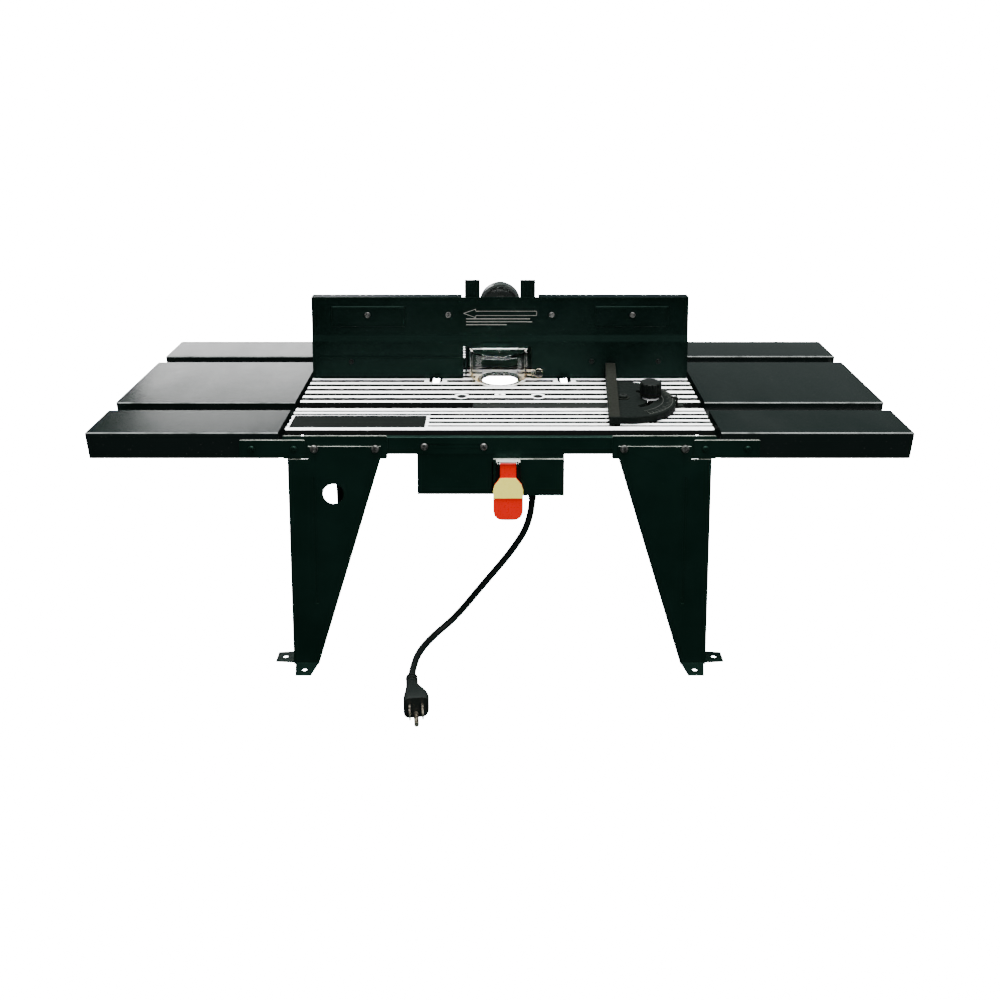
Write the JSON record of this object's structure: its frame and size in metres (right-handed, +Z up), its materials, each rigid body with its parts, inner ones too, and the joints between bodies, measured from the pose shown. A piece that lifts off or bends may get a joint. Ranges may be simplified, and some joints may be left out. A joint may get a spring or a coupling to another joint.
{
  "type": "bench router table",
  "caption": "Bench-top router table with ribbed cast top, steel wings and legs, sliding fence, swing-up cutter guard, mitre gauge and paddle switch.",
  "frame": {"origin": "on the floor under the middle of the table, without the cord and plug", "axes": "+X along the table, +Y from the operator's side to the back, +Z up"},
  "size_m": [0.864, 0.461, 0.381],
  "materials": {
    "cast_top": "machined lands over black-painted grooves",
    "ring_metal": "turned",
    "label": "fine texture, blank",
    "black_steel": "satin black paint",
    "wing_steel": "semi-gloss black paint",
    "zinc": "zinc plated",
    "black_zinc": "black plated",
    "black_plastic": "moulded",
    "clear_plastic": "clear with amber edges",
    "cast_head": "dark grey paint",
    "red_plastic": "moulded",
    "cream_plastic": "moulded",
    "green_plastic": "moulded",
    "cord_rubber": "smooth jacket",
    "blade_brass": "polished"
  },
  "bodies": {
    "stand": {"box_back": "black_steel", "box_screws": "black_zinc", "cord": "cord_rubber", "front_apron": "black_steel", "front_left_leg": "black_steel", "front_left_panel": "black_steel", "front_left_wing_bar": "black_steel", "front_right_leg": "black_steel", "front_right_panel": "black_steel", "front_right_wing_bar": "black_steel", "insert_ring": "ring_metal", "label_plate": "label", "left_apron": "black_steel", "left_wing": "wing_steel", "leg_nuts": "zinc", "leg_screws": "black_zinc", "outlet": "black_plastic", "paddle_pin": "zinc", "plug": "cord_rubber", "plug_blades": "blade_brass", "rear_apron": "black_steel", "rear_left_leg": "black_steel", "rear_left_panel": "black_steel", "rear_left_wing_bar": "black_steel", "rear_right_leg": "black_steel", "rear_right_panel": "black_steel", "rear_right_wing_bar": "black_steel", "right_apron": "black_steel", "right_wing": "wing_steel", "strain_relief": "cord_rubber", "switch_body": "black_plastic", "switch_box": "black_steel", "switch_cover": "black_steel", "table_top": "cast_top", "top_screws": "zinc", "wing_screws": "black_zinc"},
    "fence": {"fence_body": "black_steel", "outfeed_strip": "black_steel", "fence_base": "black_steel", "left_gusset": "black_steel", "right_gusset": "black_steel", "fence_screws": "black_zinc", "fence_nuts": "zinc", "clamp_bolts": "zinc", "clamp_washers": "zinc", "dust_chute": "black_steel", "dust_port": "black_plastic", "guard_screw": "zinc"},
    "left_clamp_knob": {"left_clamp_knob": "black_plastic"},
    "right_clamp_knob": {"right_clamp_knob": "black_plastic"},
    "bit_guard": {"bit_guard": "clear_plastic"},
    "miter_runner": {"miter_bar": "zinc", "miter_pivot_screw": "zinc", "miter_washer": "zinc", "miter_pointer": "zinc"},
    "miter_head": {"miter_head": "cast_head"},
    "miter_knob": {"miter_knob": "black_plastic"},
    "paddle": {"paddle": "red_plastic", "paddle_plate": "cream_plastic"},
    "start_button": {"start_button": "green_plastic"}
  },
  "joints": [
    {"name": "fence_slide", "type": "slide", "parent": "stand", "child": "fence", "axis": [0, 1, 0], "range_m": [0, 0.06]},
    {"name": "left_clamp_knob_turn", "type": "hinge", "parent": "fence", "child": "left_clamp_knob", "pos_m": [-0.077, 0.0409, 0.275], "axis": [0, 0, 1], "continuous": true},
    {"name": "right_clamp_knob_turn", "type": "hinge", "parent": "fence", "child": "right_clamp_knob", "pos_m": [0.077, 0.0409, 0.275], "axis": [0, 0, 1], "continuous": true},
    {"name": "guard_pivot", "type": "hinge", "parent": "fence", "child": "bit_guard", "pos_m": [0.0465, 0.0073, 0.2672], "axis": [0, 1, 0], "range_deg": [0, 90]},
    {"name": "miter_slide", "type": "slide", "parent": "stand", "child": "miter_runner", "axis": [1, 0, 0], "range_m": [-0.04, 0.18]},
    {"name": "miter_head_pivot", "type": "hinge", "parent": "miter_runner", "child": "miter_head", "pos_m": [0.1375, -0.0835, 0.265], "axis": [0, 0, 1], "range_deg": [-46, 50]},
    {"name": "miter_knob_turn", "type": "hinge", "parent": "miter_runner", "child": "miter_knob", "pos_m": [0.168, -0.0835, 0.28], "axis": [0, 0, 1], "continuous": true},
    {"name": "paddle_hinge", "type": "hinge", "parent": "stand", "child": "paddle", "pos_m": [0.00885, -0.1706, 0.2285], "axis": [1, 0, 0], "range_deg": [-80, 0]},
    {"name": "start_button_press", "type": "slide", "parent": "stand", "child": "start_button", "axis": [0, 1, 0], "range_m": [0, 0.0015], "stiffness_N_per_m": 800, "springref_m": -0.001}
  ]
}
